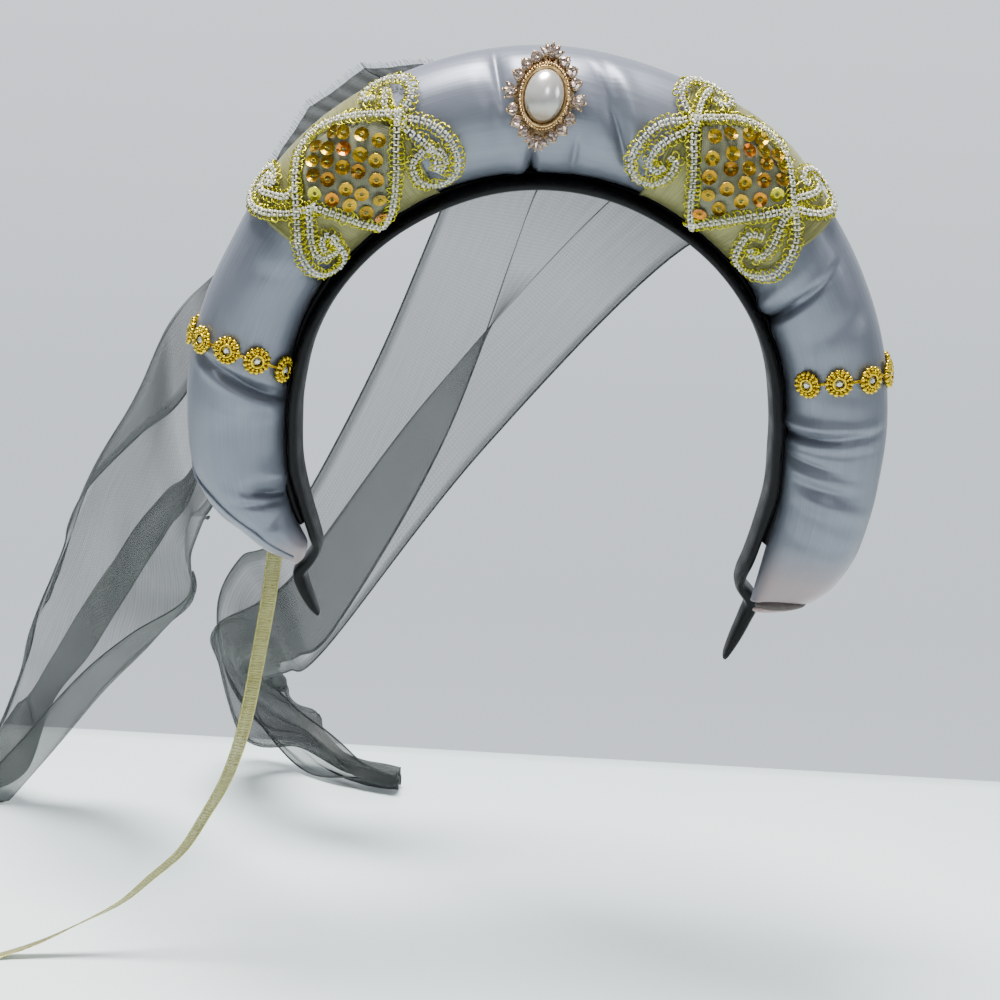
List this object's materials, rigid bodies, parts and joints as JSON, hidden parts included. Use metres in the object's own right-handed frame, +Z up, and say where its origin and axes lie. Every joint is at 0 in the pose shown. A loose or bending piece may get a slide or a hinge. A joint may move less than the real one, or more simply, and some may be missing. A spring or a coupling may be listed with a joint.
{
  "type": "tudor headdress",
  "caption": "Padded satin half-ring headdress on a black band, with a pearl brooch, sequined gold squares, flower trims, a gathered organza veil and a flat mesh tie.",
  "frame": {"origin": "the underside of the band at the crown, where the headdress sits on top of the head", "axes": "+Z up, the wearer's face looks along -Y, +X is the wearer's left side and the picture's right"},
  "size_m": [0.3463, 0.3172, 0.3096],
  "materials": {
    "satin": "satin, soft sheen, padded",
    "band_cloth": "matt black cloth over a stiff core",
    "gold_tissue": "thin metallic gold tissue, soft shine",
    "gold_sequins": "gold cup sequins on pale net",
    "gold_braid": "silver-white corded braid with gold loops",
    "gilt_flowers": "bright gold beaded wire with clear stones",
    "rose_gilt": "bright pinkish gilt filigree with clear stones",
    "pearl": "pearly white, glossy",
    "black_organza": "fine black organza, see-through",
    "gold_mesh": "flat ribbed gold mesh, soft metallic shine"
  },
  "bodies": {
    "root": {"roll": "satin", "band": "band_cloth", "patch_left": "gold_tissue", "patch_right": "gold_tissue", "sequins_left": "gold_sequins", "sequins_right": "gold_sequins", "braid_left": "gold_braid", "braid_right": "gold_braid", "trim_left": "gilt_flowers", "trim_right": "gilt_flowers", "brooch_setting": "rose_gilt", "brooch_pearl": "pearl", "veil_left_tail": "black_organza", "veil_back_tail": "black_organza", "ribbon_tie": "gold_mesh"}
  },
  "joints": []
}
